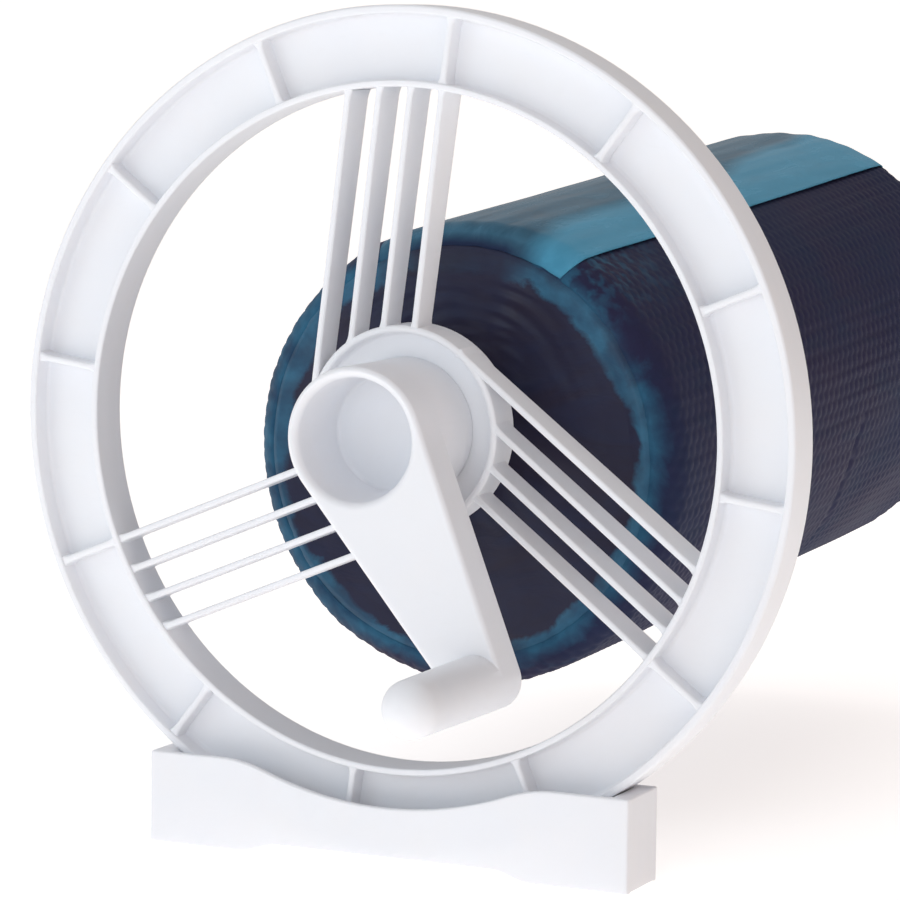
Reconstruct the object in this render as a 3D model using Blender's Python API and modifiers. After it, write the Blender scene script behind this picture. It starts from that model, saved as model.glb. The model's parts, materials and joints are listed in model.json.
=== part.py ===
"""A reel for a swimming pool's bubble cover, with the cover wound on it.

Two round end wheels stand in cradle feet. An aluminium tube in two sliding lengths runs between their
hubs, and a crank outside the near wheel turns it. All lengths are in metres.

Each wheel, foot and turned piece is modelled lying down: the wheel's axis is the local Z axis, the local
Z = 0 plane is the front edge of the wheel's rim, and the front faces +Z. Standing it up points the
front out of the reel, so that a depth behind the front is a negative Z.
"""

import math

import bmesh
import bpy
from mathutils import Matrix, Vector

# ---------------------------------------------------------------- driving dimensions

GAP = 0.0003                    # between neighbouring pieces

REEL_LENGTH = 1.730             # from the near wheel's front to the far wheel's front
TUBE_OVERLAP = 0.450            # length of tube inside tube, as built

WHEEL_RADIUS = 0.250
RIM_WIDTH = 0.048               # across the I-section, outer face to inner face
RIM_DEPTH = 0.030
OUTER_RIM_WALL = 0.0050
INNER_RIM_WALL = 0.0040
RIM_WEB = 0.0030
RIB_COUNT = 12
RIB_THICKNESS = 0.0042
RIB_SETBACK = 0.0015            # rib edge below the rim's edge
WHEEL_TURN = math.radians(-7.4) # how the wheel happens to stand in its foot

SPOKE_GROUPS = 3
SPOKES_PER_GROUP = 4
SPOKE_THICKNESS = 0.0040
SPOKE_SETBACK = 0.0020          # a spoke's front edge below the rim's edge
SPOKE_HUB_SETBACK = 0.0070      # the same edge where it meets the hub

HUB_MARGIN = 0.0192             # how far the hub stands out round the crank's boss
HUB_WALL = 0.0043
HUB_FRONT = 0.0066              # depth of the hub's lip behind the rim's front
HUB_BEHIND_RIM = 0.0030
HUB_FACE_DEPTH = 0.0168
HUB_FACE_THICKNESS = 0.0035
SLEEVE_WALL = 0.0042
SLEEVE_BEHIND_HUB = 0.0080

BUSH_WALL = 0.0057
BUSH_FLANGE = 0.0030
BUSH_FLANGE_OVERLAP = 0.0060

CRANK_FRONT = 0.0574            # how far the crank's face stands in front of the rim
CRANK_LAP = 0.0065              # how far the boss, or the far cap, covers the hub round its bore
CRANK_CUP_RIM = 0.0058          # width of the rim round the cup's mouth
CRANK_CUP_DRAFT = 0.0023        # how much narrower the cup is at its floor
CRANK_CUP_DEPTH = 0.0507
CRANK_FLOOR = 0.0040
CRANK_THROW = 0.1577
CRANK_ANGLE = math.radians(-59.8)
CRANK_ARM_DEPTH = 0.0274
CRANK_WALL = 0.0032
SPIGOT_WALL = 0.0040
SPIGOT_BEHIND_SLEEVE = 0.0340
GRIP_RADIUS = 0.0170
GRIP_ROOT_RADIUS = 0.0178
GRIP_LENGTH = 0.1000            # in front of the crank's face
GRIP_DOME = 0.0150

TUBE_RADIUS = 0.0300
TUBE_WALL = 0.0015
TUBE_SLACK = 0.0005             # radial play of the inner tube in the outer one

COLLAR_LENGTH = 0.040
COLLAR_WALL = 0.0045
COLLAR_LIP = 0.0060

FAR_PLUG_LENGTH = 0.060
CAP_DEPTH = 0.0160
CAP_WALL = 0.0035

SCREW_RADIUS = 0.0021
SCREW_HEAD_RADIUS = 0.0042
SCREW_HEAD_HEIGHT = 0.0026
SCREW_INSET = 0.0160            # from a tube's end piece to its screws
COLLAR_SCREW_RADIUS = 0.0030
COLLAR_HEAD_RADIUS = 0.0056
COLLAR_HEAD_HEIGHT = 0.0034

FOOT_HEIGHT = 0.0558
FOOT_END = 0.0111               # closed top beyond each end of the rim's slot
FOOT_SLOT_SPACE = 0.0077        # room in the slot in front of the rim
FOOT_WALL = 0.0040
FOOT_FLOOR = 0.0032
FOOT_RELIEF_HEIGHT = 0.0060
FOOT_PAD_WIDTH = 0.0600         # the part of each end that stands on the ground
FOOT_RELIEF_RAMP = 0.0270
FOOT_DIP_COVER = 0.0260         # how much of the rim the dip in the walls' top edge covers
FOOT_DIP_BLEND = 0.0150

ROLL_SPACE = 0.0110             # from the crank's spigot to the wound cover
ROLL_LENGTH = 0.5870
ROLL_NEAR_THICKNESS = 0.1137    # of the turns wound on the tube
ROLL_FAR_THICKNESS = 0.1235
ROLL_SHOULDER = 0.0280
ROLL_NEAR_SAG = 0.0260
ROLL_FAR_SAG = -0.0060

ROUND_STEPS = 72
SMALL_STEPS = 40
SCREW_STEPS = 12

# ---------------------------------------------------------------- worked-out dimensions

RIM_INNER_RADIUS = WHEEL_RADIUS - RIM_WIDTH
AXLE_HEIGHT = WHEEL_RADIUS + GAP + FOOT_FLOOR + FOOT_RELIEF_HEIGHT
HUB_BORE = TUBE_RADIUS + GAP + BUSH_WALL + GAP
SLEEVE_RADIUS = HUB_BORE + SLEEVE_WALL
CRANK_BOSS_RADIUS = HUB_BORE + CRANK_LAP
CRANK_CUP_RADIUS = CRANK_BOSS_RADIUS - CRANK_CUP_RIM
CRANK_CUP_FLOOR_RADIUS = CRANK_CUP_RADIUS - CRANK_CUP_DRAFT
CAP_RADIUS = HUB_BORE + CRANK_LAP
HUB_RADIUS = CRANK_BOSS_RADIUS + HUB_MARGIN
HUB_BACK = RIM_DEPTH + HUB_BEHIND_RIM
SLEEVE_BACK = HUB_BACK + SLEEVE_BEHIND_HUB
SPOKE_SPACING = (HUB_RADIUS - HUB_WALL / 2) / (SPOKES_PER_GROUP - 1)
SPIGOT_REACH = SLEEVE_BACK + SPIGOT_BEHIND_SLEEVE   # depth of the spigot's end
CUP_FLOOR = CRANK_FRONT - CRANK_CUP_DEPTH           # Z of the cup's floor
BOSS_BACK = -(HUB_FACE_DEPTH - GAP)                 # Z of the neck's end, against the hub
INNER_SPIGOT_RADIUS = TUBE_RADIUS - TUBE_WALL - GAP
INNER_TUBE_RADIUS = TUBE_RADIUS - TUBE_WALL - TUBE_SLACK
TUBE_START = -(CUP_FLOOR - CRANK_FLOOR) + GAP       # depth of the outer tube's near end
FAR_HUB_DEPTH = REEL_LENGTH - SLEEVE_BACK - GAP - BUSH_FLANGE
INNER_TUBE_END = FAR_HUB_DEPTH - 2 * GAP
OUTER_TUBE_END = (TUBE_START + INNER_TUBE_END + TUBE_OVERLAP) / 2
INNER_TUBE_START = OUTER_TUBE_END - TUBE_OVERLAP
RIM_SLOT_RADIUS = (WHEEL_RADIUS + GAP) / math.cos(math.pi / ROUND_STEPS)
FOOT_BACK = RIM_DEPTH + GAP + FOOT_WALL             # the rim stands against the foot's back wall
FOOT_FRONT = -(FOOT_SLOT_SPACE + FOOT_WALL)
FOOT_HALF_WIDTH = math.sqrt(RIM_SLOT_RADIUS ** 2 - (AXLE_HEIGHT - FOOT_HEIGHT) ** 2) + FOOT_END
FOOT_DIP_RADIUS = WHEEL_RADIUS - FOOT_DIP_COVER     # about the wheel's centre
ROLL_START = SPIGOT_REACH + ROLL_SPACE              # depth of the wound cover's near end
ROLL_NEAR_RADIUS = TUBE_RADIUS + ROLL_NEAR_THICKNESS
ROLL_FAR_RADIUS = TUBE_RADIUS + ROLL_FAR_THICKNESS
REEL_FRONT = -(CRANK_FRONT + GRIP_LENGTH)           # stations along the reel
REEL_BACK = REEL_LENGTH + CAP_DEPTH - HUB_FACE_DEPTH
MIDDLE = (REEL_FRONT + max(REEL_BACK, REEL_LENGTH - FOOT_FRONT)) / 2


# ---------------------------------------------------------------- scene and materials

def clear_scene():
    for obj in list(bpy.data.objects):
        bpy.data.objects.remove(obj)


def make_collection(name):
    collection = bpy.data.collections.new(name)
    bpy.context.scene.collection.children.link(collection)
    return collection


def make_material(name, color, roughness, metallic=0.0):
    material = bpy.data.materials.new(name)
    material.use_nodes = True
    shader = material.node_tree.nodes["Principled BSDF"]
    shader.inputs["Base Color"].default_value = (*color, 1.0)
    shader.inputs["Roughness"].default_value = roughness
    shader.inputs["Metallic"].default_value = metallic
    material.diffuse_color = (*color, 1.0)
    return material


def add_object(name, mesh, material=None):
    """A mesh as an object: with a material it is a piece of the reel, without one it is a cutter."""
    obj = bpy.data.objects.new(name, mesh)
    (pieces if material else cutters).objects.link(obj)
    if material:
        obj.data.materials.append(material)
    else:
        obj.hide_render = True
        obj.display_type = "WIRE"
    return obj


# ---------------------------------------------------------------- modelling tools

def turned_mesh(name, profile, steps=ROUND_STEPS, closed=True):
    """Turns a profile of (radius, z) points, listed down its outer side, about the Z axis."""
    flat = bpy.data.meshes.new(name + "_profile")
    count = len(profile)
    edges = [(i, (i + 1) % count) for i in range(count if closed else count - 1)]
    flat.from_pydata([(radius, 0.0, z) for radius, z in profile], edges, [])
    obj = bpy.data.objects.new(name, flat)
    cutters.objects.link(obj)
    screw = obj.modifiers.new("turn", "SCREW")
    screw.steps = steps
    screw.render_steps = steps
    screw.use_merge_vertices = True
    screw.merge_threshold = 0.00001
    return take_mesh(obj)


def plate_mesh(name, outline, bottom, top):
    """A flat plate from an outline of (x, y) points, between two heights."""
    curve = bpy.data.curves.new(name, "CURVE")
    curve.dimensions = "2D"
    curve.fill_mode = "BOTH"
    curve.extrude = (top - bottom) / 2
    spline = curve.splines.new("POLY")
    spline.points.add(len(outline) - 1)
    for point, (x, y) in zip(spline.points, outline):
        point.co = (x, y, 0.0, 1.0)
    spline.use_cyclic_u = True
    obj = bpy.data.objects.new(name, curve)
    cutters.objects.link(obj)
    mesh = take_mesh(obj)
    mesh.transform(Matrix.Translation((0, 0, (top + bottom) / 2)))
    return mesh


def take_mesh(obj):
    """The object's evaluated mesh, welded, with the object itself removed."""
    depsgraph = bpy.context.evaluated_depsgraph_get()
    mesh = bpy.data.meshes.new_from_object(obj.evaluated_get(depsgraph))
    bpy.data.objects.remove(obj)
    welded = bmesh.new()
    welded.from_mesh(mesh)
    bmesh.ops.remove_doubles(welded, verts=welded.verts, dist=0.000001)
    bmesh.ops.recalc_face_normals(welded, faces=welded.faces)
    welded.to_mesh(mesh)
    welded.free()
    return mesh


def box_mesh(name, boxes):
    """Boxes that don't meet, each given by two corners and a turn about the Z axis."""
    shape = bmesh.new()
    for low, high, turn in boxes:
        low, high = Vector(low), Vector(high)
        size = Matrix.Diagonal((*(high - low), 1.0))
        place = Matrix.Rotation(turn, 4, "Z") @ Matrix.Translation((low + high) / 2) @ size
        bmesh.ops.create_cube(shape, size=1.0, matrix=place)
    mesh = bpy.data.meshes.new(name)
    shape.to_mesh(mesh)
    shape.free()
    return mesh


def spoke_mesh(name, spokes):
    """Spokes, each with its front edge sloping back from the rim to the hub."""
    shape = bmesh.new()
    for start, end, side, turn in spokes:
        spin = Matrix.Rotation(turn, 4, "Z")
        for vert in bmesh.ops.create_cube(shape, size=1.0)["verts"]:
            x, front = (start, -SPOKE_HUB_SETBACK) if vert.co.x < 0 else (end, -SPOKE_SETBACK)
            z = front if vert.co.z > 0 else -RIM_DEPTH + SPOKE_SETBACK
            vert.co = spin @ Vector((x, side + vert.co.y * SPOKE_THICKNESS, z))
    mesh = bpy.data.meshes.new(name)
    shape.to_mesh(mesh)
    shape.free()
    return mesh


def rod_mesh(name, profile, at, direction, steps=SCREW_STEPS):
    """A turned piece set at a point, with its own +Z along a direction."""
    mesh = turned_mesh(name, profile, steps, closed=False)
    turn = Vector((0, 0, 1)).rotation_difference(Vector(direction)).to_matrix().to_4x4()
    mesh.transform(Matrix.Translation(at) @ turn)
    return mesh


def combine(obj, other, operation):
    modifier = obj.modifiers.new(other.name, "BOOLEAN")
    modifier.operation = operation
    modifier.solver = "EXACT"
    modifier.object = other
    other.parent = obj
    return obj


def shade(obj, angle=35):
    obj.data.shade_smooth()
    obj.data.set_sharp_from_angle(angle=math.radians(angle))
    return obj


def stand_up(obj, station, outward=-1):
    """Stands a piece up on the axle line, its front facing -Y (outward -1) or +Y (outward 1)."""
    facing = Matrix.Rotation(math.pi if outward > 0 else 0.0, 4, "Z")
    upright = Matrix.Rotation(math.pi / 2, 4, "X")
    obj.parent = axle
    obj.matrix_local = Matrix.Translation((0, station - MIDDLE, 0)) @ facing @ upright
    return obj


def arc(radius, start, end, count, center=(0.0, 0.0)):
    angles = [start + (end - start) * i / count for i in range(count + 1)]
    return [(center[0] + radius * math.cos(a), center[1] + radius * math.sin(a)) for a in angles]


def ring_profile(outer, inner, top, bottom):
    return [(outer, top), (outer, bottom), (inner, bottom), (inner, top)]


# ---------------------------------------------------------------- wheels

def make_wheel_mesh():
    """One moulding: an I-section rim with ribs, three groups of four parallel spokes, and a hub."""
    outer_wall = WHEEL_RADIUS - OUTER_RIM_WALL
    inner_wall = RIM_INNER_RADIUS + INNER_RIM_WALL
    web_top = -(RIM_DEPTH - RIM_WEB) / 2
    web_bottom = web_top - RIM_WEB
    rim = turned_mesh("rim", [
        (WHEEL_RADIUS, 0), (WHEEL_RADIUS, -RIM_DEPTH),
        (outer_wall, -RIM_DEPTH), (outer_wall, web_bottom),
        (inner_wall, web_bottom), (inner_wall, -RIM_DEPTH),
        (RIM_INNER_RADIUS, -RIM_DEPTH), (RIM_INNER_RADIUS, 0),
        (inner_wall, 0), (inner_wall, web_top),
        (outer_wall, web_top), (outer_wall, 0)])
    face_back = -(HUB_FACE_DEPTH + HUB_FACE_THICKNESS)
    wall = HUB_RADIUS - HUB_WALL
    hub = turned_mesh("hub", [
        (HUB_RADIUS, -HUB_FRONT), (HUB_RADIUS, -HUB_BACK),
        (wall, -HUB_BACK), (wall, face_back),
        (SLEEVE_RADIUS, face_back), (SLEEVE_RADIUS, -SLEEVE_BACK),
        (HUB_BORE, -SLEEVE_BACK), (HUB_BORE, -HUB_FACE_DEPTH),
        (wall, -HUB_FACE_DEPTH), (wall, -HUB_FRONT)])
    bite = 0.0012                                   # how far a rib or spoke runs into a wall
    ribs = [((inner_wall - bite, -RIB_THICKNESS / 2, -RIM_DEPTH + RIB_SETBACK),
             (outer_wall + bite, RIB_THICKNESS / 2, -RIB_SETBACK),
             2 * math.pi * i / RIB_COUNT) for i in range(RIB_COUNT)]
    spokes = []
    for group in range(SPOKE_GROUPS):
        turn = math.pi / 2 + 2 * math.pi * group / SPOKE_GROUPS
        for i in range(SPOKES_PER_GROUP):
            side = i * SPOKE_SPACING
            start = math.sqrt(max((HUB_RADIUS - HUB_WALL / 2) ** 2 - side ** 2, 0.0))
            end = math.sqrt((RIM_INNER_RADIUS + bite) ** 2 - (side + SPOKE_THICKNESS / 2) ** 2)
            spokes.append((start, end, side, turn))
    wheel = add_object("wheel_rim", rim)
    for tool in (box_mesh("wheel_ribs", ribs), spoke_mesh("wheel_spokes", spokes), hub):
        combine(wheel, add_object(tool.name, tool), "UNION")
    mesh = take_mesh(wheel)
    mesh.transform(Matrix.Rotation(WHEEL_TURN, 4, "Z"))
    mesh.name = "wheel"
    return mesh


# ---------------------------------------------------------------- feet

def foot_outline():
    """Front view of a foot: flat top ends, a dip that follows the rim, and a raised middle below."""
    top = FOOT_HEIGHT - AXLE_HEIGHT
    bottom = -AXLE_HEIGHT
    relief = bottom + FOOT_RELIEF_HEIGHT
    dip_half = math.sqrt(FOOT_DIP_RADIUS ** 2 - top ** 2)
    dip = [(x, -math.sqrt(FOOT_DIP_RADIUS ** 2 - x ** 2))
           for x in ((dip_half - FOOT_DIP_BLEND) * i / 7 for i in range(-7, 8))]
    blend = dip_half + FOOT_DIP_BLEND
    pad = FOOT_HALF_WIDTH - FOOT_PAD_WIDTH
    ramp = [(pad - FOOT_RELIEF_RAMP * i / 6,
             bottom + FOOT_RELIEF_HEIGHT * (1 - math.cos(math.pi * i / 6)) / 2) for i in range(7)]
    right = [(blend, top), (FOOT_HALF_WIDTH, top), (FOOT_HALF_WIDTH, bottom)] + ramp
    left = [(-x, y) for x, y in reversed(right)]
    return dip + right + left


def make_foot_mesh():
    """A moulded cradle: a block with a slot for the rim, hollow from below."""
    foot = add_object("foot_block", plate_mesh("foot_block", foot_outline(), -FOOT_BACK, -FOOT_FRONT))
    slot_back = -(RIM_DEPTH + GAP)
    slot_front = -(FOOT_FRONT + FOOT_WALL)
    slot = turned_mesh("rim_slot", [(0, slot_front), (RIM_SLOT_RADIUS, slot_front),
                                    (RIM_SLOT_RADIUS, slot_back), (0, slot_back)], closed=False)
    combine(foot, add_object("rim_slot", slot), "DIFFERENCE")
    floor_radius = RIM_SLOT_RADIUS + FOOT_FLOOR
    keep = turned_mesh("slot_floor", [(0, 0.1), (floor_radius, 0.1), (floor_radius, -0.1), (0, -0.1)],
                       closed=False)
    below = -AXLE_HEIGHT - 0.010
    roof = FOOT_HEIGHT - AXLE_HEIGHT - FOOT_WALL
    rib = FOOT_HALF_WIDTH - FOOT_PAD_WIDTH
    hollows = []
    for side in (-1, 1):
        for near, far in ((rib + FOOT_WALL / 2, FOOT_HALF_WIDTH - FOOT_WALL),
                          (rib - FOOT_RELIEF_RAMP, rib - FOOT_WALL / 2)):
            low, high = sorted((side * near, side * far))
            hollows.append(((low, below, slot_back), (high, roof, slot_front), 0.0))
    pockets = add_object("foot_pockets", box_mesh("foot_pockets", hollows))
    combine(pockets, add_object("slot_floor", keep), "DIFFERENCE")
    combine(foot, pockets, "DIFFERENCE")
    mesh = take_mesh(foot)
    mesh.name = "foot"
    return mesh


# ---------------------------------------------------------------- crank

def arm_outline(boss, end, inset=0.0):
    """Two circles and the lines that touch both, with the boss at the origin."""
    boss, end = boss - inset, end - inset
    spread = math.acos((boss - end) / CRANK_THROW)
    tip = (CRANK_THROW * math.cos(CRANK_ANGLE), CRANK_THROW * math.sin(CRANK_ANGLE))
    around_end = arc(end, CRANK_ANGLE - spread, CRANK_ANGLE + spread, 14, tip)
    around_boss = arc(boss, CRANK_ANGLE + spread, CRANK_ANGLE - spread + 2 * math.pi, 26)
    return around_end + around_boss


def make_crank():
    """One moulding: a cup-shaped boss with a spigot into the tube, a hollow arm and a hollow grip."""
    arm_back = CRANK_FRONT - CRANK_ARM_DEPTH
    arm = add_object("crank", plate_mesh(
        "crank", arm_outline(CRANK_BOSS_RADIUS, GRIP_ROOT_RADIUS), arm_back, CRANK_FRONT), white_plastic)
    hollow = plate_mesh("arm_hollow", arm_outline(CRANK_BOSS_RADIUS, GRIP_ROOT_RADIUS, CRANK_WALL),
                        arm_back - 0.010, CRANK_FRONT - CRANK_WALL)
    combine(arm, add_object("arm_hollow", hollow), "DIFFERENCE")
    clear_radius = (CRANK_CUP_RADIUS + CRANK_BOSS_RADIUS) / 2
    clear = turned_mesh("cup_clearance", [
        (0, CRANK_FRONT + 0.010), (clear_radius, CRANK_FRONT + 0.010),
        (clear_radius, arm_back - 0.020), (0, arm_back - 0.020)], closed=False)
    combine(arm, add_object("cup_clearance", clear), "DIFFERENCE")

    floor_back = CUP_FLOOR - CRANK_FLOOR
    spigot = INNER_SPIGOT_RADIUS
    pocket = CRANK_BOSS_RADIUS - CRANK_WALL
    boss = turned_mesh("crank_boss", [
        (0, CUP_FLOOR), (CRANK_CUP_FLOOR_RADIUS, CUP_FLOOR), (CRANK_CUP_RADIUS, CRANK_FRONT),
        (CRANK_BOSS_RADIUS, CRANK_FRONT), (CRANK_BOSS_RADIUS, BOSS_BACK), (pocket, BOSS_BACK),
        (pocket, floor_back), (spigot, floor_back), (spigot, -SPIGOT_REACH),
        (spigot - SPIGOT_WALL, -SPIGOT_REACH), (spigot - SPIGOT_WALL, floor_back), (0, floor_back)],
        SMALL_STEPS + 8, closed=False)
    combine(arm, add_object("crank_boss", boss), "UNION")

    tip = CRANK_FRONT + GRIP_LENGTH
    tip_center = (CRANK_THROW * math.cos(CRANK_ANGLE), CRANK_THROW * math.sin(CRANK_ANGLE), 0)
    dome = [(GRIP_RADIUS * math.sin(a), tip - GRIP_DOME * (1 - math.cos(a)))
            for a in (math.pi / 2 * i / 6 for i in range(7))]
    bore = GRIP_RADIUS - CRANK_WALL
    root = CRANK_FRONT - CRANK_WALL
    bore_steps = 24
    bored = turned_mesh("grip_bore", [(0, root + 0.010), (bore, root + 0.010),
                                      (bore, arm_back - 0.010), (0, arm_back - 0.010)],
                        bore_steps, closed=False)
    bored.transform(Matrix.Translation(tip_center))
    combine(arm, add_object("grip_bore", bored), "DIFFERENCE")
    grip = turned_mesh("crank_grip", [(0, tip)] + dome[1:] + [
        (GRIP_ROOT_RADIUS - 0.0002, root), (bore - 0.0002, root),
        (bore - 0.0002, tip - GRIP_DOME), (0, tip - GRIP_DOME)], bore_steps, closed=False)
    grip.transform(Matrix.Translation(tip_center))
    combine(arm, add_object("crank_grip", grip), "UNION")
    return stand_up(shade(arm), 0.0)


# ---------------------------------------------------------------- turned pieces on the axle

def make_bush(name, station, outward):
    """A flanged bearing bush, pushed into the hub's sleeve from behind."""
    bore = TUBE_RADIUS + GAP
    body = bore + BUSH_WALL
    flange = body + BUSH_FLANGE_OVERLAP
    shoulder = -(SLEEVE_BACK + GAP)
    bush = add_object(name, turned_mesh(name, [
        (body, -HUB_FACE_DEPTH - GAP), (body, shoulder), (flange, shoulder),
        (flange, shoulder - BUSH_FLANGE), (bore, shoulder - BUSH_FLANGE), (bore, -HUB_FACE_DEPTH - GAP)],
        SMALL_STEPS + 8), bearing_plastic)
    return stand_up(shade(bush), station, outward)


def make_tube(name, radius, start, end):
    inner = radius - TUBE_WALL
    tube = add_object(name, turned_mesh(name, ring_profile(radius, inner, -start, -end), SMALL_STEPS),
                      aluminium)
    return stand_up(shade(tube), 0.0)


def drill(piece, radius, depth, angle, reach):
    """A cross hole through one wall of a piece on the axle line, at a depth and an angle."""
    along = Vector((math.cos(angle), math.sin(angle), 0))
    profile = [(0, reach), (radius, reach), (radius, 0), (0, 0)]
    cutter = rod_mesh(piece.name + "_hole", profile, (0, 0, -depth), along)
    combine(piece, add_object(cutter.name, cutter), "DIFFERENCE")


def make_screw(name, material, shank, head, head_height, seat, length, depth, angle, station, outward):
    """A screw set radially: its head stands on a seat radius, its shank points at the axle line."""
    along = Vector((math.cos(angle), math.sin(angle), 0))
    rim = head_height * 0.7
    profile = [(0, seat + head_height), (head * 0.7, seat + head_height), (head, seat + rim),
               (head, seat + GAP), (shank, seat + GAP), (shank, seat - length), (0, seat - length)]
    screw = add_object(name, rod_mesh(name, profile, (0, 0, -depth), along), material)
    return stand_up(shade(screw), station, outward)


def make_collar():
    """A plastic collar on the end of the outer tube, which guides the inner tube."""
    sleeve = TUBE_RADIUS + GAP
    outer = sleeve + COLLAR_WALL
    bore = INNER_TUBE_RADIUS + GAP
    end = OUTER_TUBE_END + GAP
    collar = add_object("tube_collar", turned_mesh("tube_collar", [
        (outer, -(end - COLLAR_LENGTH)), (outer, -(end + COLLAR_LIP)), (bore, -(end + COLLAR_LIP)),
        (bore, -end), (sleeve, -end), (sleeve, -(end - COLLAR_LENGTH))], SMALL_STEPS), bearing_plastic)
    return stand_up(shade(collar), 0.0)


def make_far_plug():
    """The axle end of the inner tube: a spigot inside the tube and a journal through the far hub."""
    spigot = INNER_TUBE_RADIUS - TUBE_WALL - GAP
    tube_end = REEL_LENGTH - INNER_TUBE_END
    journal_end = -(HUB_FACE_DEPTH - GAP)
    hollow = spigot - SPIGOT_WALL
    plug = add_object("far_axle_plug", turned_mesh("far_axle_plug", [
        (0, journal_end), (TUBE_RADIUS, journal_end), (TUBE_RADIUS, -(tube_end - GAP)),
        (spigot, -(tube_end - GAP)), (spigot, -(tube_end + FAR_PLUG_LENGTH)),
        (hollow, -(tube_end + FAR_PLUG_LENGTH)), (hollow, journal_end - 3 * CAP_WALL),
        (0, journal_end - 3 * CAP_WALL)], SMALL_STEPS, closed=False), bearing_plastic)
    hole = turned_mesh("cap_screw_hole", [
        (0, 0.010), (SCREW_RADIUS + GAP, 0.010), (SCREW_RADIUS + GAP, journal_end - 4 * CAP_WALL),
        (0, journal_end - 4 * CAP_WALL)], SCREW_STEPS, closed=False)
    combine(plug, add_object("cap_screw_hole", hole), "DIFFERENCE")
    return stand_up(shade(plug), REEL_LENGTH, 1)


def make_far_cap():
    """A dished cap that keeps the far wheel on the axle plug, held by one screw."""
    back = -(HUB_FACE_DEPTH - 2 * GAP)
    front = back + CAP_DEPTH
    wall = CAP_RADIUS - CAP_WALL
    floor = back + CAP_WALL
    bore = SCREW_RADIUS + GAP
    cap = add_object("far_cap", turned_mesh("far_cap", [
        (CAP_RADIUS, front), (CAP_RADIUS, back), (bore, back), (bore, floor), (wall, floor),
        (wall, front)], SMALL_STEPS), white_plastic)
    stand_up(shade(cap), REEL_LENGTH, 1)
    profile = [(0, floor + SCREW_HEAD_HEIGHT), (SCREW_HEAD_RADIUS * 0.7, floor + SCREW_HEAD_HEIGHT),
               (SCREW_HEAD_RADIUS, floor + SCREW_HEAD_HEIGHT * 0.6), (SCREW_HEAD_RADIUS, floor + GAP),
               (SCREW_RADIUS, floor + GAP), (SCREW_RADIUS, back - 3 * CAP_WALL), (0, back - 3 * CAP_WALL)]
    screw = add_object("far_cap_screw", turned_mesh("far_cap_screw", profile, SCREW_STEPS, closed=False),
                       steel)
    stand_up(shade(screw), REEL_LENGTH, 1)


# ---------------------------------------------------------------- the wound cover

def roll_radius(depth):
    share = (depth - ROLL_START) / ROLL_LENGTH
    return ROLL_NEAR_RADIUS + (ROLL_FAR_RADIUS - ROLL_NEAR_RADIUS) * share


def make_roll():
    """The cover wound on the outer tube. It is slack at its near end, where it sags under the tube."""
    bore = TUBE_RADIUS + GAP
    end = ROLL_START + ROLL_LENGTH
    profile = [(bore, -ROLL_START)]
    for center, start in ((ROLL_START + ROLL_SHOULDER, math.pi / 2), (end - ROLL_SHOULDER, 0.0)):
        for i in range(6):
            angle = start - math.pi / 2 * i / 5
            profile.append((roll_radius(center) - ROLL_SHOULDER * (1 - math.cos(angle)),
                            -(center - ROLL_SHOULDER * math.sin(angle))))
    profile.append((bore, -end))
    mesh = turned_mesh("cover_roll", profile, 56)
    for vertex in mesh.vertices:
        radius = math.hypot(vertex.co.x, vertex.co.y)
        share = (-vertex.co.z - ROLL_START) / ROLL_LENGTH
        slack = max(radius - bore, 0.0) / (ROLL_NEAR_RADIUS - bore)
        vertex.co.y -= slack * (ROLL_NEAR_SAG + (ROLL_FAR_SAG - ROLL_NEAR_SAG) * share)
    return stand_up(shade(add_object("cover_roll", mesh, cover_film)), 0.0)


# ---------------------------------------------------------------- assembly

clear_scene()
pieces = make_collection("pool_cover_reel")
cutters = make_collection("cutters")

white_plastic = make_material("white_plastic", (0.90, 0.89, 0.93), 0.42)
bearing_plastic = make_material("bearing_plastic", (0.80, 0.79, 0.77), 0.5)
aluminium = make_material("aluminium", (0.78, 0.79, 0.80), 0.35, 1.0)
steel = make_material("steel", (0.62, 0.62, 0.64), 0.3, 1.0)
cover_film = make_material("cover_film", (0.03, 0.07, 0.20), 0.35)

axle = bpy.data.objects.new("axle_line", None)
axle.location = (0.0, 0.0, AXLE_HEIGHT)
pieces.objects.link(axle)

wheel_mesh = make_wheel_mesh()
foot_mesh = make_foot_mesh()
for side, station, outward in (("near", 0.0, -1), ("far", REEL_LENGTH, 1)):
    stand_up(shade(add_object(side + "_wheel", wheel_mesh.copy(), white_plastic)), station, outward)
    stand_up(shade(add_object(side + "_foot", foot_mesh.copy(), white_plastic)), station, outward)
    make_bush(side + "_bush", station, outward)

crank = make_crank()
outer_tube = make_tube("outer_tube", TUBE_RADIUS, TUBE_START, OUTER_TUBE_END)
inner_tube = make_tube("inner_tube", INNER_TUBE_RADIUS, INNER_TUBE_START, INNER_TUBE_END)
collar = make_collar()
far_plug = make_far_plug()
make_far_cap()
make_roll()

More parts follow.
